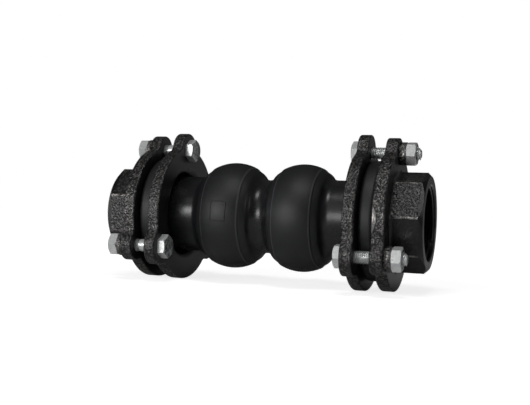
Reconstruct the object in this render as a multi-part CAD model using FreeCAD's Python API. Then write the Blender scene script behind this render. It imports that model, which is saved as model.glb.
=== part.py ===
import FreeCAD, Part
import math
import os

# Twin-sphere rubber expansion joint with threaded union ends, for a nominal 2 inch pipe line.
# Millimetres. The pipe axis lies along X, Z is up, and the origin is on the pipe axis midway
# between the two ends. The right end is described along +X and the left end is its mirror image.

# Rubber body: one moulding with two spheres, three necks and a bead at each end.
sphere_offset = 30.4      # centre of each sphere from the middle
sphere_radius = 44.6      # largest radius, on the raised band
sphere_arc = 35.9         # radius of the sphere's own arc seen in section
band_half_width = 16.2    # raised band, to each side of the sphere's centre
band_height = 0.7         # band above the recessed flank
band_slope = 0.5          # axial run of the band's edge
shoulder_half_width = 21.5  # where the flank turns into a neck, from the sphere's centre
middle_neck_radius = 30.7
end_neck_run = 6.8        # axial run of the curve from shoulder to end neck
rubber_wall = 6.0
bead_to_bolt = 1.0        # radial space between the bead and the bolt shanks
bead_edge_round = 3.5
fit_gap = 0.3             # between the rubber and each casting that clamps it

# Loose backing flange round each end neck.
end_neck_straight = 17.5  # neck between its curve and the flange's inner face
backing_thickness = 9.6
backing_disc_radius = 56.6
backing_lug_radius = 15.0
throat_clearance = 2.2    # round the end neck
throat_front_round = 6.5
throat_back_round = 2.5
bead_fillet_margin = 1.7  # by which the bead's fillet is larger than the round beside it

# Union casting at each end: three-lug flange and octagonal collar with a female pipe thread.
flange_gap = 12.9         # between the two flanges, filled by the bead
union_thickness = 10.1
union_disc_radius = 55.8
union_lug_radius = 12.6
waterway_radius = 26.0    # the bore of the union and of the rubber's ends
boss_radius = 9.3
boss_height = 5.2
collar_sides = 8
collar_across_flats = 74.6
collar_length = 25.2      # from the flange's outer face to the end
collar_corner_round = 2.5
collar_end_chamfer = 3.4
collar_root_fillet = 2.5
thread_major_radius = 29.8  # 2 inch parallel pipe thread, plain wall at the thread's root
thread_length = 22.5
thread_mouth_chamfer = 0.9
left_collar_turn = 24.5   # an octagon corner, from straight up towards -Y
right_collar_turn = -5.5

# Shared by both castings.
lug_count = 3
nut_to_collar = 4.2       # space for a spanner between a nut's corners and the collar's
lug_fillet = 8.0          # between a lug and the round disc
bolt_hole_radius = 5.5
cast_edge_round = 1.3

# M10 hexagon bolts and nuts.
bolt_radius = 5.0
hex_across_flats = 17.0
head_height = 6.4
nut_height = 8.0
thread_clearance = 0.05   # radial, between a bolt and its nut
left_bolt_stand_out = 0.4   # bolt tip beyond the nut
right_bolt_stand_out = 3.4
bolt_end_chamfer = 1.2
hex_chamfer_angle = 30.0
hex_face_inset = 0.35     # a hexagon's round end face inside its flats
nut_mouth = 0.6           # radial depth of the countersink
left_head_turn = 30.0     # a corner of the hexagon, from -Y towards +Z
right_head_turn = 18.0
head_turn_step = -26.0    # from one right-hand bolt to the next
left_nut_turn = 0.0
right_nut_turn = -14.0

same_place = 0.01         # two places closer than this along the pipe are one

# Places that follow from the sizes above.
backing_face = sphere_offset + shoulder_half_width + end_neck_run + end_neck_straight
backing_outer_face = backing_face + backing_thickness
union_inner_face = backing_outer_face + flange_gap
union_outer_face = union_inner_face + union_thickness
end_face = union_outer_face + collar_length
boss_face = union_outer_face + boss_height
nut_outer_face = boss_face + nut_height
collar_corner_radius = collar_across_flats / 2 / math.cos(math.pi / collar_sides)
hex_corner_radius = hex_across_flats / 2 / math.cos(math.pi / 6)
bolt_circle_radius = collar_corner_radius + nut_to_collar + hex_corner_radius
bead_radius = bolt_circle_radius - bolt_radius - bead_to_bolt
bead_fillet = throat_back_round + bead_fillet_margin
end_neck_radius = waterway_radius + rubber_wall
throat_radius = end_neck_radius + throat_clearance

AXIS = FreeCAD.Vector(1, 0, 0)
ORIGIN = FreeCAD.Vector(0, 0, 0)


def point(x, radius):
    """A point of a section, x along the pipe and radius from its axis."""
    return FreeCAD.Vector(x, 0, radius)


def place_on_circle(x, radius, angle):
    """A point at an angle in degrees from straight up towards -Y."""
    turn = math.radians(angle)
    return FreeCAD.Vector(x, -radius * math.sin(turn), radius * math.cos(turn))


def line(start, end):
    return Part.LineSegment(start, end).toShape()


def arc_about(center, start, end):
    """The shorter arc between two points at about the same distance from a centre."""
    radius = (start.distanceToPoint(center) + end.distanceToPoint(center)) / 2
    middle = (start - center).normalize() + (end - center).normalize()
    return Part.Arc(start, center + middle.normalize() * radius, end).toShape()


def revolve(edges):
    """The closed solid that a section outline sweeps round the pipe axis."""
    face = Part.Face(Part.Wire(Part.__sortEdges__(edges)))
    return face.revolve(ORIGIN, AXIS, 360)


def turned(points, height=0.0):
    """A turned solid from straight lines between section points, its axis at the given height."""
    corners = [point(x, height + radius) for x, radius in points]
    wire = Part.makePolygon(corners + corners[:1])
    return Part.Face(wire).revolve(point(0, height), AXIS, 360)


def mirror_left(shape):
    return shape.mirror(ORIGIN, AXIS)


def arc_meeting(center_a, radius_a, center_b, radius_b):
    """The crossing of two section circles that lies further from the pipe axis."""
    along = center_b - center_a
    distance = along.Length
    along.normalize()
    reach = (radius_a ** 2 - radius_b ** 2 + distance ** 2) / (2 * distance)
    height = math.sqrt(radius_a ** 2 - reach ** 2)
    across = FreeCAD.Vector(-along.z, 0, along.x)
    if across.z < 0:
        across = across * -1
    return center_a + along * reach + across * height


def rubber_half_section():
    """Edges of the moulding's wall for x from 0 to the right-hand bead."""
    sphere_center = point(sphere_offset, sphere_radius - sphere_arc)
    flank_arc = sphere_arc - band_height

    def on_sphere(arc_radius, dx):
        rise = math.sqrt(arc_radius ** 2 - dx ** 2)
        return sphere_center + FreeCAD.Vector(dx, 0, rise)

    inner_shoulder = on_sphere(flank_arc, -shoulder_half_width)
    band_start_low = on_sphere(flank_arc, -band_half_width - band_slope)
    band_start = on_sphere(sphere_arc, -band_half_width)
    band_end = on_sphere(sphere_arc, band_half_width)
    band_end_low = on_sphere(flank_arc, band_half_width + band_slope)
    outer_shoulder = on_sphere(flank_arc, shoulder_half_width)

    neck_depth = inner_shoulder.z - middle_neck_radius
    middle_arc = (inner_shoulder.x ** 2 + neck_depth ** 2) / (2 * neck_depth)
    middle_center = point(0, middle_neck_radius + middle_arc)
    neck_start = point(outer_shoulder.x + end_neck_run, end_neck_radius)
    drop = outer_shoulder.z - end_neck_radius
    end_arc = (end_neck_run ** 2 + drop ** 2) / (2 * drop)
    end_center = neck_start + FreeCAD.Vector(0, 0, end_arc)

    bead_back = backing_outer_face + fit_gap
    bead_front = union_inner_face - fit_gap
    fillet_center = point(bead_back - bead_fillet, end_neck_radius + bead_fillet)
    back_round = point(bead_back + bead_edge_round, bead_radius - bead_edge_round)
    front_round = point(bead_front - bead_edge_round, bead_radius - bead_edge_round)

    outside = [
        arc_about(middle_center, point(0, middle_neck_radius), inner_shoulder),
        arc_about(sphere_center, inner_shoulder, band_start_low),
        line(band_start_low, band_start),
        arc_about(sphere_center, band_start, band_end),
        line(band_end, band_end_low),
        arc_about(sphere_center, band_end_low, outer_shoulder),
        arc_about(end_center, outer_shoulder, neck_start),
        line(neck_start, point(fillet_center.x, end_neck_radius)),
        arc_about(fillet_center, point(fillet_center.x, end_neck_radius),
                  point(bead_back, fillet_center.z)),
        line(point(bead_back, fillet_center.z), point(bead_back, back_round.z)),
        arc_about(back_round, point(bead_back, back_round.z), point(back_round.x, bead_radius)),
        line(point(back_round.x, bead_radius), point(front_round.x, bead_radius)),
        arc_about(front_round, point(front_round.x, bead_radius), point(bead_front, front_round.z)),
    ]

    inner_sphere_arc = flank_arc - rubber_wall
    middle_meeting = arc_meeting(middle_center, middle_arc + rubber_wall,
                                 sphere_center, inner_sphere_arc)
    end_meeting = arc_meeting(end_center, end_arc + rubber_wall,
                              sphere_center, inner_sphere_arc)
    inside = [
        arc_about(middle_center, point(0, middle_neck_radius - rubber_wall), middle_meeting),
        arc_about(sphere_center, middle_meeting, end_meeting),
        arc_about(end_center, end_meeting, point(neck_start.x, waterway_radius)),
        line(point(neck_start.x, waterway_radius), point(bead_front, waterway_radius)),
        line(point(bead_front, waterway_radius), point(bead_front, front_round.z)),
    ]
    return outside + inside


def rubber_body():
    right_half = rubber_half_section()
    left_half = [mirror_left(edge) for edge in right_half]
    return revolve(right_half + left_half)


def lugged_plate(x, thickness, disc_radius, lug_radius):
    """Flat casting: a round disc with three round lugs faired into it, its edges rounded."""
    to_fillet = disc_radius + lug_fillet
    lug_to_fillet = lug_radius + lug_fillet
    cosine = to_fillet ** 2 + bolt_circle_radius ** 2 - lug_to_fillet ** 2
    spread = math.degrees(math.acos(cosine / (2 * to_fillet * bolt_circle_radius)))
    pitch = 360.0 / lug_count
    center = point(x, 0)
    edges = []
    for number in range(lug_count):
        lug_angle = number * pitch
        lug_center = place_on_circle(x, bolt_circle_radius, lug_angle)
        lug_tip = place_on_circle(x, bolt_circle_radius + lug_radius, lug_angle)
        tangents = []
        for side in (-1, 1):
            fillet_center = place_on_circle(x, to_fillet, lug_angle + side * spread)
            outward = (fillet_center - lug_center).normalize()
            on_lug = lug_center + outward * lug_radius
            on_disc = place_on_circle(x, disc_radius, lug_angle + side * spread)
            edges.append(arc_about(fillet_center, on_disc, on_lug))
            tangents.append(on_lug)
        edges.append(Part.Arc(tangents[0], lug_tip, tangents[1]).toShape())
        rim_start = place_on_circle(x, disc_radius, lug_angle + spread)
        rim_end = place_on_circle(x, disc_radius, lug_angle + pitch - spread)
        edges.append(arc_about(center, rim_start, rim_end))
    face = Part.Face(Part.Wire(Part.__sortEdges__(edges)))
    plate = face.extrude(FreeCAD.Vector(thickness, 0, 0))
    rims = [edge for edge in plate.Edges if edge.BoundBox.XLength < thickness / 2]
    return plate.makeFillet(cast_edge_round, rims)


def at_each_bolt(shape):
    """Copies of a shape made at the top bolt, one for each lug."""
    copies = []
    for number in range(lug_count):
        copy = shape.copy()
        copy.rotate(ORIGIN, AXIS, number * 360.0 / lug_count)
        copies.append(copy)
    return copies


def round_bar(x, length, radius, height=0.0):
    """A cylinder along the pipe, its axis at the given height above the pipe axis."""
    return Part.makeCylinder(radius, length, point(x, height), AXIS)


def bolt_holes(x, length):
    return at_each_bolt(round_bar(x, length, bolt_hole_radius, bolt_circle_radius))


def backing_flange():
    plate = lugged_plate(backing_face, backing_thickness, backing_disc_radius, backing_lug_radius)
    front_center = point(backing_face + throat_front_round, throat_radius + throat_front_round)
    back_center = point(backing_outer_face - throat_back_round, throat_radius + throat_back_round)
    mouth = point(backing_face, front_center.z)
    back_mouth = point(backing_outer_face, back_center.z)
    throat_start = point(front_center.x, throat_radius)
    throat_end = point(back_center.x, throat_radius)
    opening = revolve([
        line(point(backing_face, 0), mouth),
        arc_about(front_center, mouth, throat_start),
        line(throat_start, throat_end),
        arc_about(back_center, throat_end, back_mouth),
        line(back_mouth, point(backing_outer_face, 0)),
        line(point(backing_outer_face, 0), point(backing_face, 0)),
    ])
    return plate.cut([opening] + bolt_holes(backing_face, backing_thickness))


def octagonal_collar(turn):
    """Wrench collar with rounded corners and a turned chamfer at its end."""
    start = union_inner_face + union_thickness / 2
    corners = [
        place_on_circle(start, collar_corner_radius, turn + number * 360.0 / collar_sides)
        for number in range(collar_sides)
    ]
    face = Part.Face(Part.makePolygon(corners + corners[:1]))
    collar = face.extrude(AXIS * (end_face - start))
    long_edges = [edge for edge in collar.Edges if edge.BoundBox.XLength > collar_length]
    collar = collar.makeFillet(collar_corner_round, long_edges)
    return collar.common(turned([
        (start, 0),
        (start, collar_corner_radius),
        (end_face - collar_end_chamfer, collar_corner_radius),
        (end_face, collar_corner_radius - collar_end_chamfer),
        (end_face, 0),
    ]))


def collar_root(body):
    """The outline of the collar where it stands on the flange's outer face."""
    between = (collar_across_flats / 2 + union_disc_radius) / 2
    return [
        edge for edge in body.Edges
        if edge.BoundBox.XLength < same_place
        and abs(edge.BoundBox.XMin - union_outer_face) < same_place
        and max(math.hypot(end.Y, end.Z) for end in edge.Vertexes) < between
    ]


def union_casting(turn):
    plate = lugged_plate(union_inner_face, union_thickness, union_disc_radius, union_lug_radius)
    body = plate.fuse(octagonal_collar(turn)).removeSplitter()
    body = body.makeFillet(collar_root_fillet, collar_root(body))
    boss_root = union_inner_face + union_thickness / 2
    boss = round_bar(boss_root, boss_face - boss_root, boss_radius, bolt_circle_radius)
    body = body.fuse(at_each_bolt(boss)).removeSplitter()
    thread_start = end_face - thread_length
    opening = turned([
        (union_inner_face, 0),
        (union_inner_face, waterway_radius),
        (thread_start - (thread_major_radius - waterway_radius), waterway_radius),
        (thread_start, thread_major_radius),
        (end_face - thread_mouth_chamfer, thread_major_radius),
        (end_face, thread_major_radius + thread_mouth_chamfer),
        (end_face, 0),
    ])
    return body.cut([opening] + bolt_holes(union_inner_face, boss_face - union_inner_face))


def hexagonal_bar(start, length, turn, far_end_chamfered):
    """A hexagon on the top bolt's axis, a corner at the given turn from -Y towards +Z."""
    corners = []
    for number in range(6):
        angle = math.radians(turn + 60 * number)
        across = -hex_corner_radius * math.cos(angle)
        up = hex_corner_radius * math.sin(angle)
        corners.append(FreeCAD.Vector(start, across, bolt_circle_radius + up))
    face = Part.Face(Part.makePolygon(corners + corners[:1]))
    bar = face.extrude(AXIS * length)

    end = start + length
    face_radius = hex_across_flats / 2 - hex_face_inset
    clear_radius = hex_corner_radius + hex_face_inset
    run = (clear_radius - face_radius) * math.tan(math.radians(hex_chamfer_angle))
    envelope = [(start, 0), (start, face_radius), (start + run, clear_radius)]
    if far_end_chamfered:
        envelope += [(end - run, clear_radius), (end, face_radius), (end, 0)]
    else:
        envelope += [(end, clear_radius), (end, 0)]
    return bar.common(turned(envelope, bolt_circle_radius))


def bolt(stand_out, turn):
    """Hexagon bolt at the top lug, its head against the backing flange's inner face."""
    head = hexagonal_bar(backing_face - head_height, head_height, turn, False)
    tip = nut_outer_face + stand_out
    shank = turned([
        (backing_face, 0),
        (backing_face, bolt_radius),
        (tip - bolt_end_chamfer, bolt_radius),
        (tip, bolt_radius - bolt_end_chamfer),
        (tip, 0),
    ], bolt_circle_radius)
    return head.fuse(shank)


def nut(turn):
    """Hexagon nut at the top lug, seated on the boss of the union casting."""
    bore = bolt_radius + thread_clearance
    opening = turned([
        (boss_face, 0),
        (boss_face, bore + nut_mouth),
        (boss_face + nut_mouth, bore),
        (nut_outer_face - nut_mouth, bore),
        (nut_outer_face, bore + nut_mouth),
        (nut_outer_face, 0),
    ], bolt_circle_radius)
    return hexagonal_bar(boss_face, nut_height, turn, True).cut(opening)


def save(shape, name):
    shape.exportStep("parts/" + name + ".step")


def save_fasteners(side, stand_out, head_turn, head_step, nut_turn, place):
    """The bolts and nuts of one end. Each is turned back after it moves to its lug."""
    for number in range(lug_count):
        around = number * 360.0 / lug_count
        one_bolt = bolt(stand_out, head_turn + number * head_step - around)
        one_nut = nut(nut_turn - around)
        one_bolt.rotate(ORIGIN, AXIS, around)
        one_nut.rotate(ORIGIN, AXIS, around)
        save(place(one_bolt), f"{side}_bolt_{number + 1}")
        save(place(one_nut), f"{side}_nut_{number + 1}")


def stay_right(shape):
    return shape


os.makedirs("parts", exist_ok=True)
save(rubber_body(), "rubber_body")
save(backing_flange(), "right_backing_flange")
save(mirror_left(backing_flange()), "left_backing_flange")
save(union_casting(right_collar_turn), "right_union")
save(mirror_left(union_casting(left_collar_turn)), "left_union")
save_fasteners("right", right_bolt_stand_out, right_head_turn, head_turn_step, right_nut_turn,
               stay_right)
save_fasteners("left", left_bolt_stand_out, left_head_turn, 0.0, left_nut_turn, mirror_left)
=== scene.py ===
# A rubber expansion joint for a nominal 2 inch pipe line. Its rubber body has two spheres, and at
# each end a loose flange and a threaded union casting clamp the body's bead with three bolts.
# The pipe axis lies along X and Z is up. Sizes are millimetres, turned to metres by MM.
import math

import bmesh
import bpy
from mathutils import Matrix, Vector


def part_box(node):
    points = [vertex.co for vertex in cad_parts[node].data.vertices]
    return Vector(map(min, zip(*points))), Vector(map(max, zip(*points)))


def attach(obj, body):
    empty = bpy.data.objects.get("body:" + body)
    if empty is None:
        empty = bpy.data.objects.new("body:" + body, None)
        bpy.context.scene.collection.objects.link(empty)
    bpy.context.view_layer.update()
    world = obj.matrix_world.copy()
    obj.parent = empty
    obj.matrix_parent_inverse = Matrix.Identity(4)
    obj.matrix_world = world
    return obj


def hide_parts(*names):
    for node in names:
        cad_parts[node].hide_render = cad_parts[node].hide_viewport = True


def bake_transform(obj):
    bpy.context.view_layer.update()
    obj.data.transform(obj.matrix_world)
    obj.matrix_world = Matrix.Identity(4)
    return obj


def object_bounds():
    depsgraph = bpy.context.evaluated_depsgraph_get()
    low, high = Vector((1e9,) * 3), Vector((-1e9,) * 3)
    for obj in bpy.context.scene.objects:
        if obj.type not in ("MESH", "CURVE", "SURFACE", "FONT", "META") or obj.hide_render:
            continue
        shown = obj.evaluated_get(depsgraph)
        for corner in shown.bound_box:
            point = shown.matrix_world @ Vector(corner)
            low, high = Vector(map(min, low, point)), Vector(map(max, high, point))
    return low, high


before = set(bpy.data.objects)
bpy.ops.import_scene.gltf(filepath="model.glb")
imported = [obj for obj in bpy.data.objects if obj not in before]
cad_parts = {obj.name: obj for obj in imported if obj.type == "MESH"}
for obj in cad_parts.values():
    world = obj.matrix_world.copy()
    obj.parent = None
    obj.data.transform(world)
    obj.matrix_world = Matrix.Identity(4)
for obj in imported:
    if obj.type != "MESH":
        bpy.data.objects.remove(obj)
cad_low, cad_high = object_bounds()
MM = 0.001


# Rubber body
# One moulding of black rubber over fabric plies: two spheres, three necks and a bead at each end.
# It is made as two halves that meet in the middle neck.
sphere_offset = 30.4         # centre of each sphere from the middle
sphere_radius = 44.6
sphere_arc = 35.9            # radius of the sphere's section, whose centre lies off the axis
band_half_width = 16.2       # raised band round each sphere
band_height = 0.7
band_edge_run = 1.1          # rounded step from the band down to the flank
shoulder_half_width = 21.5   # where a sphere's flank turns over into the necks
middle_neck_radius = 30.7
end_neck_radius = 32.0
end_neck_run = 6.8           # along the pipe, from the shoulder to the straight end neck
rubber_wall = 6.0
bead_fillet = 4.2
bead_edge_round = 3.5
fit_gap = 0.3                # between the bead and each casting that clamps it
handled_patch = 22.0         # sizes of the patches, waves and grain in the rubber's skin
mould_wave = 9.0
skin_grain = 0.9
turned_steps = 180           # faces round the pipe axis
outside_step = 0.8           # between section points along the pipe
inside_step = 1.6
edge_step = 0.12             # closer together at the band's edges
seam_step = 0.05             # a ring next to the seam, so that the two halves' shading meets

sphere_height = sphere_radius - sphere_arc
flank_arc = sphere_arc - band_height
shoulder_radius = sphere_height + math.sqrt(flank_arc ** 2 - shoulder_half_width ** 2)
middle_shoulder = sphere_offset - shoulder_half_width
middle_rise = shoulder_radius - middle_neck_radius
middle_arc = (middle_shoulder ** 2 + middle_rise ** 2) / (2 * middle_rise)
end_rise = shoulder_radius - end_neck_radius
end_arc = (end_neck_run ** 2 + end_rise ** 2) / (2 * end_rise)
neck_start = sphere_offset + shoulder_half_width + end_neck_run
bead_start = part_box("right_backing_flange")[1].x / MM + fit_gap
bead_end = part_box("rubber_body")[1].x / MM
bead_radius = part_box("rubber_body")[1].z / MM


def eased(part):
    """A share from 0 to 1 that starts and ends gently."""
    part = min(max(part, 0.0), 1.0)
    return part * part * (3 - 2 * part)


def arc_height(arc, run):
    """How high a circle of a radius stands at a run from its centre."""
    return math.sqrt(max(arc ** 2 - run ** 2, 0))


def rubber_radius(x):
    """Outside of the moulding, from the middle neck to the straight end neck."""
    run = abs(x - sphere_offset)
    if x < middle_shoulder:
        return middle_neck_radius + middle_arc - arc_height(middle_arc, x)
    if run > shoulder_half_width:
        return end_neck_radius + end_arc - arc_height(end_arc, max(neck_start - x, 0))
    band = eased((band_half_width - run) / band_edge_run + 0.5)
    return sphere_height + arc_height(flank_arc + band_height * band, run)


def bore_radius(x):
    """Inside of the moulding, one wall thickness in from the outside."""
    run = abs(x - sphere_offset)
    hollow = sphere_height + arc_height(flank_arc - rubber_wall, run)
    if x < middle_shoulder:
        neck = arc_height(middle_arc + rubber_wall, x)
        return max(hollow, middle_neck_radius + middle_arc - neck)
    if run > shoulder_half_width:
        neck = arc_height(end_arc + rubber_wall, max(neck_start - x, 0))
        return max(hollow, end_neck_radius + end_arc - neck)
    return hollow


def rounding(x, radius, size, start, end, steps=8):
    """Section points on an arc about a centre, from one angle in degrees to another."""
    turns = [math.radians(start + (end - start) * step / steps) for step in range(steps + 1)]
    return [(x + size * math.cos(turn), radius + size * math.sin(turn)) for turn in turns]


def rubber_section():
    """The closed section of the right-hand half, as (x, radius) in millimetres."""
    fillet_x = bead_start - bead_fillet
    near_edges = [
        sphere_offset + side * (band_half_width + edge_step * step)
        for side in (-1, 1) for step in range(-7, 8)
    ]
    steps = range(1, int(fillet_x / outside_step) + 1)
    even = [0.0, seam_step] + [outside_step * step for step in steps]
    outside = [(x, rubber_radius(x)) for x in sorted(even + near_edges)]
    fillet = rounding(fillet_x, end_neck_radius + bead_fillet, bead_fillet, -90, 0)
    round_height = bead_radius - bead_edge_round
    back = rounding(bead_start + bead_edge_round, round_height, bead_edge_round, 180, 90)
    front = rounding(bead_end - bead_edge_round, round_height, bead_edge_round, 90, 0)
    bore_end = end_neck_radius - rubber_wall
    inside_places = [inside_step * step for step in range(int(neck_start / inside_step), -1, -1)]
    inside = [(x, bore_radius(x)) for x in inside_places]
    return outside + fillet + back + front + [(bead_end, bore_end)] + inside


def shown(name, mesh):
    """An object at the origin that shows a mesh."""
    piece = bpy.data.objects.new(name, mesh)
    bpy.context.scene.collection.objects.link(piece)
    return piece


def shade_smooth(mesh, sharp_angle):
    """Smooth shading that keeps edges sharper than an angle in degrees."""
    mesh.shade_smooth()
    mesh.set_sharp_from_angle(angle=math.radians(sharp_angle))


def rubber_half(name, side):
    """Half of the moulding, turned round the pipe axis. Side is 1 for right and -1 for left."""
    section = rubber_section()
    form = bmesh.new()
    corners = [form.verts.new((side * x * MM, 0, radius * MM)) for x, radius in section]
    lines = [form.edges.new((corners[i - 1], corners[i])) for i in range(len(corners))]
    bmesh.ops.spin(form, geom=corners + lines, cent=(0, 0, 0), axis=(1, 0, 0),
                   angle=2 * math.pi, steps=turned_steps)
    bmesh.ops.remove_doubles(form, verts=form.verts, dist=0.002 * MM)
    bmesh.ops.recalc_face_normals(form, faces=form.faces)
    mesh = bpy.data.meshes.new(name)
    form.to_mesh(mesh)
    form.free()
    shade_smooth(mesh, 50)
    return shown(name, mesh)


def linear(colour):
    """An sRGB hex colour as the linear RGBA that a shader takes."""
    channels = [int(colour[place:place + 2], 16) / 255 for place in (1, 3, 5)]
    return [c / 12.92 if c <= 0.04045 else ((c + 0.055) / 1.055) ** 2.4 for c in channels] + [1]


def add(tree, kind, values=None, **settings):
    """A node with its settings, and its inputs given as values or as other nodes' outputs."""
    node = tree.nodes.new(kind)
    for name, setting in settings.items():
        setattr(node, name, setting)
    for socket, value in (values or {}).items():
        if isinstance(value, bpy.types.NodeSocket):
            tree.links.new(value, node.inputs[socket])
        else:
            node.inputs[socket].default_value = value
    return node


def maths(tree, operation, first, second=0.0):
    """The result of a maths node."""
    return add(tree, "ShaderNodeMath", {0: first, 1: second}, operation=operation).outputs[0]


def new_material(name):
    """An empty material. Returns it, its tree and the place on the object in metres."""
    material = bpy.data.materials.new(name)
    material.use_nodes = True
    tree = material.node_tree
    tree.nodes.clear()
    return material, tree, add(tree, "ShaderNodeTexCoord").outputs["Object"]


def share(tree, value, start, end, low=0.0, high=1.0):
    """How far a value has gone from a start to an end, as a share or between two levels."""
    return add(tree, "ShaderNodeMapRange", {
        "Value": value, "From Min": start, "From Max": end, "To Min": low,
        "To Max": high}).outputs["Result"]


def mixed(tree, part, first, second):
    """A colour between two, which are sRGB hex or other nodes' outputs."""
    first, second = (linear(end) if isinstance(end, str) else end for end in (first, second))
    return add(tree, "ShaderNodeMix", {
        "Factor": part, "A": first, "B": second}, data_type="RGBA").outputs["Result"]


def speckle(tree, place, size, detail=2.0, roughness=0.55):
    """Noise whose lumps are about a size in millimetres."""
    return add(tree, "ShaderNodeTexNoise", {
        "Vector": place, "Scale": 1 / (size * MM), "Detail": detail,
        "Roughness": roughness}).outputs["Fac"]


def split(tree, vector):
    """The X, Y and Z of a vector."""
    return add(tree, "ShaderNodeSeparateXYZ", {"Vector": vector}).outputs


def off_axis(tree, place):
    """Distance from the pipe axis."""
    across = add(tree, "ShaderNodeVectorMath", {0: place, 1: (0, 1, 1)}, operation="MULTIPLY")
    return add(tree, "ShaderNodeVectorMath", {
        0: across.outputs["Vector"]}, operation="LENGTH").outputs["Value"]


def moulded_black_rubber():
    """Rubber from a steel mould: near black, glossy in the necks and rubbed dull on the spheres."""
    material, tree, _ = new_material("moulded_black_rubber")
    place = add(tree, "ShaderNodeAttribute", attribute_name="rest_place").outputs["Vector"]
    rubbed = share(tree, off_axis(tree, place), end_neck_radius * MM, (sphere_radius - 4) * MM,
                   0.26, 0.48)
    handled = speckle(tree, place, handled_patch, 3.0, 0.6)
    dulled = share(tree, handled, 0.35, 0.65, 0.0, 0.06)
    from_middle = maths(tree, "ABSOLUTE", split(tree, place)["X"])
    run = maths(tree, "ABSOLUTE", maths(tree, "SUBTRACT", from_middle, sphere_offset * MM))
    # A painted highlight: a thin line of lighter base colour along each band's rounded edge, where the
    # edge catches the light.
    from_edge = maths(tree, "ABSOLUTE", maths(tree, "SUBTRACT", run, (band_half_width - 0.5) * MM))
    painted_edge_highlight = maths(tree, "LESS_THAN", from_edge, 0.6 * MM)
    black = mixed(tree, handled, "#151617", "#1d1e20")
    waves = add(tree, "ShaderNodeBump", {
        "Height": speckle(tree, place, mould_wave, 1.0, 0.5), "Distance": 0.10 * MM,
        "Strength": 1.0})
    skin = add(tree, "ShaderNodeBump", {
        "Height": speckle(tree, place, skin_grain, 2.0, 0.5), "Distance": 0.012 * MM,
        "Strength": 1.0, "Normal": waves.outputs["Normal"]})
    shader = add(tree, "ShaderNodeBsdfPrincipled", {
        "Base Color": mixed(tree, painted_edge_highlight, black, "#3f4042"),
        "Roughness": maths(tree, "ADD", rubbed, dulled), "Normal": skin.outputs["Normal"],
        "IOR": 1.52})
    add(tree, "ShaderNodeOutputMaterial", {"Surface": shader.outputs["BSDF"]})
    return material


def keep_rest_place(piece):
    """Stores where each point is at rest, so that the finish stays put when the rubber bends."""
    points = piece.data.vertices
    kept = piece.data.attributes.new("rest_place", "FLOAT_VECTOR", "POINT")
    kept.data.foreach_set("vector", [value for point in points for value in point.co])


rubber = moulded_black_rubber()
left_rubber = rubber_half("left_rubber_half", -1)
right_rubber = rubber_half("right_rubber_half", 1)
for half in (left_rubber, right_rubber):
    half.data.materials.append(rubber)
    keep_rest_place(half)
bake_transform(left_rubber)
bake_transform(right_rubber)
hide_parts("rubber_body")


# Moulded frame
# A thin raised rectangle that the mould leaves on the left sphere's band, round the place for a
# size mark. It is part of the moulding.
frame_middle = 0.8           # from the sphere's centre along the pipe
frame_turn = 4.7             # degrees from straight at the front, upwards
frame_length = 12.5
frame_height = 16.0          # along the sphere's surface
frame_rib = 0.45


def new_tree(name, **inputs):
    """A geometry nodes tree with a named input for each size, and its group input node."""
    tree = bpy.data.node_groups.new(name, "GeometryNodeTree")
    for title, value in inputs.items():
        kind = {int: "NodeSocketInt", float: "NodeSocketFloat"}.get(type(value), "NodeSocketMaterial")
        socket = tree.interface.new_socket(title.replace("_", " "), in_out="INPUT", socket_type=kind)
        if kind != "NodeSocketMaterial":
            socket.default_value = value
    tree.interface.new_socket("Geometry", in_out="OUTPUT", socket_type="NodeSocketGeometry")
    return tree, add(tree, "NodeGroupInput").outputs


def finish_tree(tree, geometry, material):
    """Ends a tree in real geometry with its material set."""
    real = add(tree, "GeometryNodeRealizeInstances", {"Geometry": geometry})
    made = add(tree, "GeometryNodeSetMaterial", {
        "Geometry": real.outputs["Geometry"], "Material": material})
    add(tree, "NodeGroupOutput", {"Geometry": made.outputs["Geometry"]})


def grown(name, tree, sharp_angle, **inputs):
    """A plain mesh piece from a geometry nodes tree, with its named inputs set."""
    piece = shown(name, bpy.data.meshes.new(name))
    modifier = piece.modifiers.new("grow", "NODES")
    modifier.node_group = tree
    for socket in tree.interface.items_tree:
        title = socket.name.replace(" ", "_")
        if socket.in_out == "INPUT" and title in inputs:
            modifier[socket.identifier] = inputs[title]
    seen = piece.evaluated_get(bpy.context.evaluated_depsgraph_get())
    piece.data = bpy.data.meshes.new_from_object(seen)
    piece.modifiers.clear()
    shade_smooth(piece.data, sharp_angle)
    return piece


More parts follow.
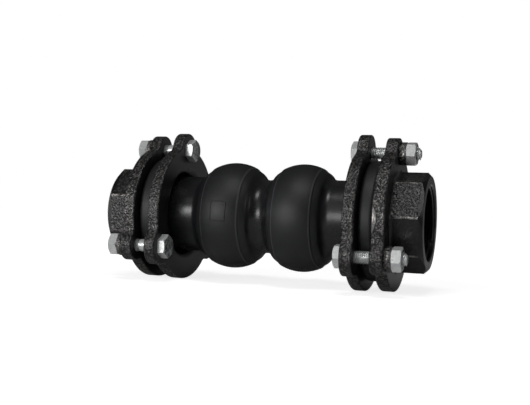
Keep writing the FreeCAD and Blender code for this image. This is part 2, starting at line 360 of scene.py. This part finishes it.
def frame_tree():
    """A round rib, half sunk, along a rectangle that is laid on the sphere's surface."""
    tree, size = new_tree("moulded_frame", Length=0.01, Height=0.01, Rib=0.0005, Arc=0.03,
                          Arc_Height=0.01, Along=0.0, Turn=0.0, Centre=0.0, Material=None)
    corners = add(tree, "GeometryNodeCurvePrimitiveQuadrilateral", {
        "Width": size["Length"], "Height": size["Height"]})
    rounded = add(tree, "GeometryNodeFilletCurve", {
        "Curve": corners.outputs["Curve"], "Radius": size["Rib"]}, mode="POLY")
    path = add(tree, "GeometryNodeResampleCurve", {
        "Curve": rounded.outputs["Curve"], "Count": 120})
    flat = add(tree, "ShaderNodeSeparateXYZ", {
        "Vector": add(tree, "GeometryNodeInputPosition").outputs["Position"]}).outputs
    run = maths(tree, "ADD", flat["X"], size["Along"])
    rise = maths(tree, "SUBTRACT", maths(tree, "POWER", size["Arc"], 2.0), maths(tree, "POWER", run, 2.0))
    radius = maths(tree, "ADD", size["Arc Height"], maths(tree, "SQRT", rise))
    turn = maths(tree, "ADD", size["Turn"], maths(tree, "DIVIDE", flat["Y"], radius))
    across = maths(tree, "MULTIPLY", radius, maths(tree, "MULTIPLY", -1.0, maths(tree, "COSINE", turn)))
    on_sphere = add(tree, "ShaderNodeCombineXYZ", {
        "X": maths(tree, "ADD", run, size["Centre"]), "Y": across,
        "Z": maths(tree, "MULTIPLY", radius, maths(tree, "SINE", turn))})
    laid = add(tree, "GeometryNodeSetPosition", {
        "Geometry": path.outputs["Curve"], "Position": on_sphere.outputs["Vector"]})
    rib = add(tree, "GeometryNodeCurvePrimitiveCircle", {"Resolution": 8, "Radius": size["Rib"]})
    swept = add(tree, "GeometryNodeCurveToMesh", {
        "Curve": laid.outputs["Geometry"], "Profile Curve": rib.outputs["Curve"]})
    finish_tree(tree, swept.outputs["Mesh"], size["Material"])
    return tree


moulded_frame = grown(
    "moulded_frame", frame_tree(), 60, Length=frame_length * MM, Height=frame_height * MM,
    Rib=frame_rib * MM, Arc=sphere_arc * MM, Arc_Height=sphere_height * MM,
    Along=frame_middle * MM, Turn=math.radians(frame_turn), Centre=-sphere_offset * MM,
    Material=rubber)
keep_rest_place(moulded_frame)
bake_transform(moulded_frame)


# Flanges and unions
# Four sand castings of grey iron, dipped in thin black paint. Rims and collars keep the sand's
# grain, whose tops show bare grey: partly worn iron and partly painted glints of light. The
# collars' downward-facing lower flats get no grey, a painted shade, and a collar's turned end is
# painted near black, a painted shade too. The right union's rim has the pale lens where its
# casting gate was ground off.
grain_size = 1.7
lump_size = 7.0
worn_patch = 5.0             # size of the breaks in the bright line along a collar's corners
sand_relief = 0.8            # depth of the grain, and of the lumps
collar_reach = 42.0          # radius inside which there is only collar or throat
rim_reach = 48.0             # radius past which there is only rim or lug
lug_start = 53.5             # radius past which the lugs' ends keep more of their paint
collar_ridge = 39.95         # radius past which a collar's rounded corners are rubbed bright
collar_start = 111.0         # from the middle along the pipe
backing_face = 90.0          # nothing but the smooth throats of the loose flanges lies before it
turned_end = 130.4           # where a collar's end is turned; the end is painted near black as painted shade
cut_bore = 32.0              # radius inside which the thread and the waterway are cut smooth
gate_width = 4.0             # along the pipe, from the rim's inner edge
gate_middle = 1.5            # degrees from straight at the front, upwards
gate_half_angle = 12.5
gate_foot = 52.0             # radius of the rim that the gate stood on, less its rounding


def smooth_places(tree, facing, from_middle, radius):
    """The flat faces across the pipe, a collar's turned end, and all places without grain."""
    flat = share(tree, maths(tree, "ABSOLUTE", facing["X"]), 0.80, 0.97)
    turned = share(tree, from_middle, turned_end * MM, (turned_end + 0.3) * MM)
    on_collar = share(tree, radius, rim_reach * MM, collar_reach * MM)
    # Painted shade: the collars' downward-facing lower flats get no bare grey and less grain, so they
    # stay darker.
    lower_flats_shade = maths(tree, "MULTIPLY", share(tree, facing["Z"], -0.10, -0.25, 0.0, 0.85), on_collar)
    throat = maths(tree, "MULTIPLY", on_collar, maths(
        tree, "LESS_THAN", from_middle, backing_face * MM))
    cut = maths(tree, "LESS_THAN", radius, cut_bore * MM)
    smooth = flat
    for other in (turned, lower_flats_shade, throat, cut):
        smooth = maths(tree, "MAXIMUM", smooth, other)
    return flat, turned, smooth


def ground_gate(tree, place, rim_start):
    """Where the gate's ground lens is on a rim, and where its outline is."""
    at = split(tree, place)
    turn = maths(tree, "ARCTAN2", at["Z"], maths(tree, "MULTIPLY", at["Y"], -1.0))
    from_middle = maths(tree, "SUBTRACT", turn, math.radians(gate_middle))
    squared = maths(tree, "POWER", maths(
        tree, "DIVIDE", from_middle, math.radians(gate_half_angle)), 2.0)
    width = maths(tree, "MULTIPLY", maths(tree, "SUBTRACT", 1.0, squared), gate_width * MM)
    inside = maths(tree, "SUBTRACT", width, maths(tree, "SUBTRACT", at["X"], rim_start))
    on_rim = share(tree, off_axis(tree, place), gate_foot * MM, (gate_foot + 1) * MM)
    lens = maths(tree, "MULTIPLY", share(tree, inside, 0.0, 0.4 * MM), on_rim)
    edge = share(tree, maths(tree, "ABSOLUTE", inside), 0.8 * MM, 0.3 * MM)
    return lens, maths(tree, "MULTIPLY", edge, on_rim)


def painted_sand_casting(name, gate_rim=None):
    """Black paint over cast iron, with bare grey metal on the grain's tops and on worn edges, partly
    painted glints.
    """
    material, tree, place = new_material(name)
    facing = split(tree, add(tree, "ShaderNodeTexCoord").outputs["Normal"])
    from_middle = maths(tree, "ABSOLUTE", split(tree, place)["X"])
    radius = off_axis(tree, place)
    flat, turned, smooth = smooth_places(tree, facing, from_middle, radius)
    grainy = share(tree, smooth, 0.0, 1.0, 1.0, 0.0)
    grain = speckle(tree, place, grain_size, 1.0, 0.5)
    # The grey on the grain's tops is partly worn iron and partly painted glints, more on the rims than on
    # the collars.
    tops = maths(tree, "MULTIPLY", share(tree, grain, 0.51, 0.59), grainy)
    rubbed = share(tree, radius, (collar_reach - 1) * MM, rim_reach * MM, 0.24, 0.94)
    less_on_lugs = share(tree, radius, lug_start * MM, (lug_start + 3) * MM, 1.0, 0.35)
    wear_and_glints = maths(tree, "MULTIPLY", maths(tree, "MULTIPLY", tops, rubbed), less_on_lugs)
    patchy = share(tree, speckle(tree, place, worn_patch, 4.0, 0.7), 0.40, 0.60)
    ridges = maths(tree, "MULTIPLY", maths(tree, "GREATER_THAN", radius, collar_ridge * MM),
                   maths(tree, "GREATER_THAN", from_middle, collar_start * MM))
    wear_and_glints = maths(tree, "MAXIMUM", wear_and_glints, maths(tree, "MULTIPLY", ridges, patchy))
    relief = share(tree, smooth, 0.0, 1.0, 1.0, 0.05)
    if gate_rim is not None:
        lens, edge = ground_gate(tree, place, gate_rim)
        ground = maths(tree, "MULTIPLY", lens, share(tree, patchy, 0.0, 1.0, 0.45, 0.85))
        wear_and_glints = maths(tree, "MAXIMUM", wear_and_glints, ground)
        wear_and_glints = maths(tree, "MULTIPLY", wear_and_glints, share(tree, edge, 0.0, 1.0, 1.0, 0.1))
        relief = maths(tree, "MULTIPLY", relief, share(tree, lens, 0.0, 1.0, 1.0, 0.3))
    lumps = add(tree, "ShaderNodeBump", {
        "Height": speckle(tree, place, lump_size), "Distance": sand_relief * MM, "Strength": relief})
    bumps = add(tree, "ShaderNodeBump", {
        "Height": grain, "Distance": sand_relief * MM, "Strength": relief,
        "Normal": lumps.outputs["Normal"]})
    paint = mixed(tree, wear_and_glints, "#131212", "#8c8987")
    # A collar's turned end is painted near black: painted shade.
    shader = add(tree, "ShaderNodeBsdfPrincipled", {
        "Base Color": mixed(tree, turned, paint, "#080808"), "Metallic": wear_and_glints,
        "Roughness": share(tree, flat, 0.0, 1.0, 0.30, 0.42), "Normal": bumps.outputs["Normal"]})
    add(tree, "ShaderNodeOutputMaterial", {"Surface": shader.outputs["BSDF"]})
    return material


def dress(nodes, material):
    """Gives CAD pieces their finish."""
    for node in nodes:
        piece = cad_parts[node]
        piece.data.materials.clear()
        piece.data.materials.append(material)


casting = painted_sand_casting("painted_sand_casting")
dress(["left_backing_flange", "right_backing_flange", "left_union"], casting)
gated_casting = painted_sand_casting("gated_sand_casting", gate_rim=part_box("right_union")[0].x)
dress(["right_union"], gated_casting)


# Pipe threads
# The female thread cut in the iron of each union's mouth, a 2 inch parallel pipe thread. The CAD
# wall is at the thread's root, so the ridges stand inwards from it.
pipe_thread_radius = 29.8
pipe_thread_pitch = 2.309
pipe_thread_depth = 1.479
pipe_thread_length = 20.4    # from the middle of the first ridge to the middle of the last
pipe_mouth_chamfer = 0.9
ridge_bite = 0.1             # ridge root inside the metal that carries it
ridge_foot = 0.86            # widths of a ridge's foot and crest, as shares of the pitch
ridge_crest = 0.18


def ridge(tree, root_radius, depth, pitch, length, inward):
    """A screw thread's ridge round +Z from z=0 to the length, faded out at both ends."""
    spiral = add(tree, "GeometryNodeCurveSpiral", {
        "Resolution": 72, "Rotations": maths(tree, "DIVIDE", length, pitch),
        "Start Radius": root_radius, "End Radius": root_radius, "Height": length})
    level = add(tree, "GeometryNodeSetCurveNormal", {
        "Curve": spiral.outputs["Curve"]}, mode="Z_UP")
    along = add(tree, "GeometryNodeSplineParameter").outputs["Length"]
    whole = add(tree, "GeometryNodeSplineLength").outputs["Length"]
    from_end = maths(tree, "MINIMUM", along, maths(tree, "SUBTRACT", whole, along))
    fade = add(tree, "ShaderNodeMapRange", {
        "Value": from_end, "From Max": maths(tree, "MULTIPLY", root_radius, 2.0),
        "To Min": 0.05})
    faded = add(tree, "GeometryNodeSetCurveRadius", {
        "Curve": level.outputs["Curve"], "Radius": fade.outputs["Result"]})
    profile = add(tree, "GeometryNodeCurvePrimitiveQuadrilateral", {
        "Height": depth, "Bottom Width": maths(tree, "MULTIPLY", pitch, ridge_foot),
        "Top Width": maths(tree, "MULTIPLY", pitch, ridge_crest), "Offset": 0.0}, mode="TRAPEZOID")
    half_depth = maths(tree, "MULTIPLY", depth, 0.5)
    lifted = add(tree, "GeometryNodeTransform", {
        "Geometry": profile.outputs["Curve"],
        "Translation": add(tree, "ShaderNodeCombineXYZ", {"Y": half_depth}).outputs["Vector"]})
    turned = add(tree, "GeometryNodeTransform", {
        "Geometry": lifted.outputs["Geometry"],
        "Rotation": (0, 0, math.radians(-90 if inward else 90))})
    swept = add(tree, "GeometryNodeCurveToMesh", {
        "Curve": faded.outputs["Curve"], "Profile Curve": turned.outputs["Geometry"],
        "Fill Caps": True})
    return swept.outputs["Mesh"]


def pipe_thread_tree():
    """The ridge of a female pipe thread, moved along X to its start."""
    tree, size = new_tree("pipe_thread", Root_Radius=0.03, Depth=0.001, Pitch=0.002, Length=0.02,
                          Start=0.0, Material=None)
    turn = ridge(tree, size["Root Radius"], size["Depth"], size["Pitch"], size["Length"], True)
    start = add(tree, "ShaderNodeCombineXYZ", {"X": size["Start"]}).outputs["Vector"]
    laid = add(tree, "GeometryNodeTransform", {
        "Geometry": turn, "Translation": start, "Rotation": (0, math.radians(90), 0)})
    finish_tree(tree, laid.outputs["Geometry"], size["Material"])
    return tree


pipe_tree = pipe_thread_tree()
for side, direction in (("left", -1), ("right", 1)):
    low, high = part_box(side + "_union")
    mouth = high.x if direction > 0 else low.x
    wall_outer = mouth - direction * (pipe_mouth_chamfer + pipe_thread_pitch / 2) * MM
    wall_inner = wall_outer - direction * pipe_thread_length * MM
    thread = grown(
        side + "_pipe_thread", pipe_tree, 40, Root_Radius=(pipe_thread_radius + ridge_bite) * MM,
        Depth=(pipe_thread_depth + ridge_bite) * MM, Pitch=pipe_thread_pitch * MM,
        Length=pipe_thread_length * MM, Start=min(wall_outer, wall_inner), Material=casting)
    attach(thread, side + "_end")


# Bolts
# Six M10 hexagon bolts of zinc-plated steel, headed and rolled. Their heads sit on the backing
# flanges. The left ones have a plain shank and the right ones are threaded up to the head.
bolt_radius = 5.0
bolt_core_radius = 4.08
bolt_pitch = 1.5
bolt_tip_chamfer = 1.0
shank_bite = 0.5             # how far the shank runs into the head
across_flats = 17.0
head_face_inset = 0.35       # round end face inside the flats
head_chamfer_slope = math.tan(math.radians(60))
stain_size = 3.0             # dull stains in the zinc
plate_grain = 0.7

# The plain length under each head, and how many degrees a flat is turned up from the front: on the
# top bolt, and more on each next one.
bolt_ends = {
    "left": {"plain": 19.0, "first_turn": 0.0, "turn_step": 0.0},
    "right": {"plain": 1.6, "first_turn": -12.0, "turn_step": -26.0},
}
bolt_circle_radius = (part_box("left_bolt_1")[1].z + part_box("left_bolt_1")[0].z) / 2


def bright_zinc():
    """Zinc plate on cold-formed steel: light and satin on the flats, stained, with the ends painted
    darker as painted shade.
    """
    material, tree, place = new_material("bright_zinc")
    facing = split(tree, add(tree, "ShaderNodeTexCoord").outputs["Normal"])
    end_face = share(tree, maths(tree, "ABSOLUTE", facing["X"]), 0.80, 0.97)
    stains = speckle(tree, place, stain_size, 3.0, 0.7)
    plate = mixed(tree, share(tree, stains, 0.35, 0.65), "#dfe2e3", "#f6f7f5")
    # Painted shade: the end faces across the bolt take a darker colour. The stains vary both colours.
    end_shade_and_stains = mixed(tree, share(tree, stains, 0.40, 0.60), "#5c6062", "#c2c5c6")
    bump = add(tree, "ShaderNodeBump", {
        "Height": speckle(tree, place, plate_grain, 2.0, 0.5), "Distance": 0.012 * MM,
        "Strength": 1.0})
    shader = add(tree, "ShaderNodeBsdfPrincipled", {
        "Base Color": mixed(tree, end_face, plate, end_shade_and_stains), "Metallic": 0.5,
        "Roughness": share(tree, stains, 0.3, 0.7, 0.36, 0.26), "Normal": bump.outputs["Normal"]})
    add(tree, "ShaderNodeOutputMaterial", {"Surface": shader.outputs["BSDF"]})
    return material


def bolt_tree():
    """Hexagon bolts on the bolt circle, each turned about its own axis, pointing along +X or -X."""
    tree, size = new_tree(
        "hexagon_bolts", Count=3, Circle_Radius=0.05, Seat=0.07, Facing=1.0, Across_Flats=0.017,
        Head_Height=0.006, Face_Inset=0.0003, Length=0.045, Plain_Length=0.02,
        Shank_Radius=0.005, Core_Radius=0.004, Pitch=0.0015, Tip=0.001, First_Turn=0.0,
        Turn_Step=0.0, Material=None)
    corner_radius = maths(tree, "DIVIDE", size["Across Flats"], 2 * math.cos(math.pi / 6))
    face_radius = maths(tree, "SUBTRACT", maths(tree, "MULTIPLY", size["Across Flats"], 0.5),
                        size["Face Inset"])
    deeper = maths(tree, "MULTIPLY", size["Head Height"], 2.0)
    below = maths(tree, "MULTIPLY", size["Head Height"], -1.0)
    prism = add(tree, "GeometryNodeMeshCylinder", {
        "Vertices": 6, "Radius": corner_radius, "Depth": deeper})
    prism_down = add(tree, "GeometryNodeTransform", {
        "Geometry": prism.outputs["Mesh"],
        "Translation": add(tree, "ShaderNodeCombineXYZ", {"Z": below}).outputs["Vector"]})
    cone = add(tree, "GeometryNodeMeshCone", {
        "Vertices": 96, "Radius Bottom": face_radius, "Depth": deeper,
        "Radius Top": maths(tree, "ADD", face_radius,
                            maths(tree, "MULTIPLY", deeper, head_chamfer_slope))})
    cone_down = add(tree, "GeometryNodeTransform", {
        "Geometry": cone.outputs["Mesh"],
        "Translation": add(tree, "ShaderNodeCombineXYZ", {"Z": below}).outputs["Vector"]})
    head = add(tree, "GeometryNodeMeshBoolean", {
        "Mesh 2": prism_down.outputs["Geometry"]}, operation="INTERSECT", solver="EXACT")
    tree.links.new(cone_down.outputs["Geometry"], head.inputs["Mesh 2"])

    def bar(radius, start, length, top_radius=None):
        """A round bar along the bolt, from a start to a length on, tapered if asked."""
        made = add(tree, "GeometryNodeMeshCone", {
            "Vertices": 48, "Radius Bottom": radius, "Depth": length,
            "Radius Top": radius if top_radius is None else top_radius})
        place = add(tree, "ShaderNodeCombineXYZ", {"Z": start}).outputs["Vector"]
        return add(tree, "GeometryNodeTransform", {
            "Geometry": made.outputs["Mesh"], "Translation": place}).outputs["Geometry"]

    straight = maths(tree, "SUBTRACT", size["Length"], size["Tip"])
    threaded = maths(tree, "SUBTRACT", straight, size["Plain Length"])
    plain = bar(size["Shank Radius"], -shank_bite * MM,
                maths(tree, "ADD", size["Plain Length"], shank_bite * MM))
    core = bar(size["Core Radius"], 0.0, straight)
    tip = bar(size["Core Radius"], straight, size["Tip"],
              maths(tree, "SUBTRACT", size["Core Radius"], size["Tip"]))
    root = maths(tree, "SUBTRACT", size["Core Radius"], ridge_bite * MM)
    depth = maths(tree, "SUBTRACT", size["Shank Radius"], root)
    screw = ridge(tree, root, depth, size["Pitch"], threaded, False)
    start = add(tree, "ShaderNodeCombineXYZ", {"Z": size["Plain Length"]}).outputs["Vector"]
    screw = add(tree, "GeometryNodeTransform", {"Geometry": screw, "Translation": start})
    whole = add(tree, "GeometryNodeJoinGeometry", {"Geometry": head.outputs["Mesh"]})
    for part in (plain, core, tip, screw.outputs["Geometry"]):
        tree.links.new(part, whole.inputs["Geometry"])
    quarter = maths(tree, "MULTIPLY", size["Facing"], math.radians(90))
    aimed = add(tree, "GeometryNodeTransform", {
        "Geometry": whole.outputs["Geometry"],
        "Rotation": add(tree, "ShaderNodeCombineXYZ", {"Y": quarter}).outputs["Vector"]})

    number = add(tree, "GeometryNodeInputIndex").outputs["Index"]
    around = maths(tree, "DIVIDE", maths(tree, "MULTIPLY", number, 2 * math.pi), size["Count"])
    across = maths(tree, "MULTIPLY", size["Circle Radius"], maths(tree, "SINE", around))
    places = add(tree, "ShaderNodeCombineXYZ", {
        "X": size["Seat"], "Y": maths(tree, "MULTIPLY", across, -1.0),
        "Z": maths(tree, "MULTIPLY", size["Circle Radius"], maths(tree, "COSINE", around))})
    points = add(tree, "GeometryNodePoints", {
        "Count": size["Count"], "Position": places.outputs["Vector"]})
    head_turn = maths(tree, "ADD", size["First Turn"], maths(tree, "MULTIPLY", number, size["Turn Step"]))
    spin = add(tree, "ShaderNodeCombineXYZ", {"X": maths(tree, "MULTIPLY", head_turn, -1.0)})
    bolts = add(tree, "GeometryNodeInstanceOnPoints", {
        "Points": points.outputs["Points"], "Instance": aimed.outputs["Geometry"],
        "Rotation": spin.outputs["Vector"]})
    finish_tree(tree, bolts.outputs["Instances"], size["Material"])
    return tree


zinc = bright_zinc()
bolts_tree = bolt_tree()
for side, direction in (("left", -1), ("right", 1)):
    flange_low, flange_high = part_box(side + "_backing_flange")
    bolt_low, bolt_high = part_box(side + "_bolt_1")
    seat = flange_low.x if direction > 0 else flange_high.x
    head_height = abs((bolt_low.x if direction > 0 else bolt_high.x) - seat)
    bolt_length = bolt_high.x - bolt_low.x - head_height
    end = bolt_ends[side]
    bolts = grown(
        side + "_bolts", bolts_tree, 35, Count=3, Circle_Radius=bolt_circle_radius, Seat=seat,
        Facing=float(direction), Across_Flats=across_flats * MM, Head_Height=head_height,
        Face_Inset=head_face_inset * MM, Length=bolt_length, Plain_Length=end["plain"] * MM,
        Shank_Radius=bolt_radius * MM, Core_Radius=bolt_core_radius * MM,
        Pitch=bolt_pitch * MM, Tip=bolt_tip_chamfer * MM,
        First_Turn=math.radians(end["first_turn"]), Turn_Step=math.radians(end["turn_step"]),
        Material=zinc)
    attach(bolts, side + "_end")
    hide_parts(*[f"{side}_bolt_{number}" for number in (1, 2, 3)])


# Nuts
# Six M10 hexagon nuts, cold formed and zinc plated like the bolts, and turned home on the unions'
# bosses. They keep their CAD shape.
dress([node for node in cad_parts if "_nut_" in node], zinc)


# Floor and backdrop
# A pale floor under the flanges' rims, and white all round it for the camera. Glossy faces show
# the white behind the joint from one side only, because the rest of the room is dark.
floor_reach = 3.0
white_side = (0.643, 0.766, 0.0)    # behind, towards the right


def white_behind(tree, direction, level):
    """How white a direction from the joint is in a glossy face, up to a level."""
    likeness = add(tree, "ShaderNodeVectorMath", {0: direction, 1: white_side},
                   operation="DOT_PRODUCT").outputs["Value"]
    return share(tree, likeness, 0.86, 0.96, 0.01, level)


def seen_white(tree, level, behind):
    """The strength of white for the camera and through glass, and for glossy faces."""
    rays = add(tree, "ShaderNodeLightPath").outputs
    straight = maths(tree, "MAXIMUM", rays["Is Camera Ray"], rays["Is Transmission Ray"])
    mirrored = maths(tree, "MULTIPLY", rays["Is Glossy Ray"], behind)
    return maths(tree, "MULTIPLY", maths(tree, "MAXIMUM", straight, mirrored), level)


def pale_floor():
    """Matt card that the camera sees lit up to white, more so away from the joint's shadow."""
    material, tree, place = new_material("pale_floor")
    away = add(tree, "ShaderNodeVectorMath", {0: place}, operation="LENGTH").outputs["Value"]
    outwards = add(tree, "ShaderNodeVectorMath", {0: place}, operation="NORMALIZE").outputs["Vector"]
    strength = seen_white(
        tree, share(tree, away, 0.2, 0.5, 0.80, 1.0), white_behind(tree, outwards, 0.30))
    card = add(tree, "ShaderNodeBsdfDiffuse", {"Color": linear("#e4e4e4")})
    glow = add(tree, "ShaderNodeEmission", {"Color": linear("#ffffff"), "Strength": strength})
    both = add(tree, "ShaderNodeAddShader", {0: card.outputs["BSDF"], 1: glow.outputs["Emission"]})
    add(tree, "ShaderNodeOutputMaterial", {"Surface": both.outputs["Shader"]})
    return material


floor_mesh = bpy.data.meshes.new("floor")
floor_mesh.from_pydata(
    [(x * floor_reach, y * floor_reach, cad_low.z) for x, y in ((-1, -1), (1, -1), (1, 1), (-1, 1))],
    [], [(0, 1, 2, 3)])
floor_mesh.materials.append(pale_floor())
shown("floor", floor_mesh)

world = bpy.data.worlds.new("studio")
world.use_nodes = True
room = world.node_tree
room.nodes.clear()
direction = add(room, "ShaderNodeTexCoord").outputs["Generated"]
ceiling = share(room, split(room, direction)["Z"], 0.0, 0.7, 0.0, 0.065)
white = seen_white(room, 1.0, white_behind(room, direction, 0.32))
studio = add(room, "ShaderNodeBackground", {
    "Color": linear("#ffffff"), "Strength": maths(room, "MAXIMUM", ceiling, white)})
add(room, "ShaderNodeOutputWorld", {"Surface": studio.outputs["Background"]})
bpy.context.scene.world = world


# Lamps
# Soft boxes in front and overhead, with weak ones at both sides and behind. Distances and sizes
# are metres, and powers are watts.


def soft_box(name, turn, rise, distance, width, height, power):
    """An area lamp aimed at the joint. Turn is from the front towards +X, in degrees."""
    turn, rise = math.radians(turn), math.radians(rise)
    away = Vector((math.sin(turn) * math.cos(rise), -math.cos(turn) * math.cos(rise), math.sin(rise)))
    lamp = bpy.data.lights.new(name, "AREA")
    lamp.shape, lamp.size, lamp.size_y, lamp.energy = "RECTANGLE", width, height, power
    holder = bpy.data.objects.new(name, lamp)
    holder.location = away * distance
    holder.rotation_mode = "QUATERNION"
    holder.rotation_quaternion = away.to_track_quat("Z", "Y")
    bpy.context.scene.collection.objects.link(holder)


soft_box("front_box", turn=-24, rise=9, distance=1.3, width=0.60, height=0.36, power=5.0)
soft_box("front_panel", turn=-20, rise=9, distance=1.31, width=1.2, height=0.36, power=1.4)
soft_box("upper_panel", turn=-20, rise=36, distance=1.3, width=0.80, height=0.36, power=0.5)
soft_box("overhead_box", turn=10, rise=66, distance=1.3, width=0.50, height=0.36, power=3.5)
soft_box("left_box", turn=-75, rise=8, distance=1.3, width=0.36, height=0.36, power=0.8)
soft_box("right_box", turn=77, rise=20, distance=1.3, width=0.36, height=0.36, power=0.9)
soft_box("rear_box", turn=-133, rise=5, distance=1.3, width=0.60, height=0.36, power=0.4)


# Camera
# The photograph's view, from 0.7 m away. The camera stands to the right of the front, level with
# the pipe, and is rolled a little.
camera_distance = 0.700
camera_turn = math.radians(19.7)
camera_rise = math.radians(-0.25)
camera_roll = math.radians(2.1)
camera_aim = Vector((-4.8, 0, 11.8)) * MM

back = Vector((math.sin(camera_turn) * math.cos(camera_rise),
               -math.cos(camera_turn) * math.cos(camera_rise), math.sin(camera_rise)))
level_right = Vector((0, 0, 1)).cross(back).normalized()
level_up = back.cross(level_right)
right = level_right * math.cos(camera_roll) + level_up * math.sin(camera_roll)
up = level_up * math.cos(camera_roll) - level_right * math.sin(camera_roll)
camera_data = bpy.data.cameras.new("camera")
camera_data.sensor_width = 36
camera_data.lens = 56.3
camera = bpy.data.objects.new("camera", camera_data)
camera.matrix_world = Matrix.Translation(camera_aim + back * camera_distance) @ Matrix(
    (right, up, back)).transposed().to_4x4()
bpy.context.scene.collection.objects.link(camera)
bpy.context.scene.camera = camera
bpy.context.scene.view_settings.view_transform = "Standard"
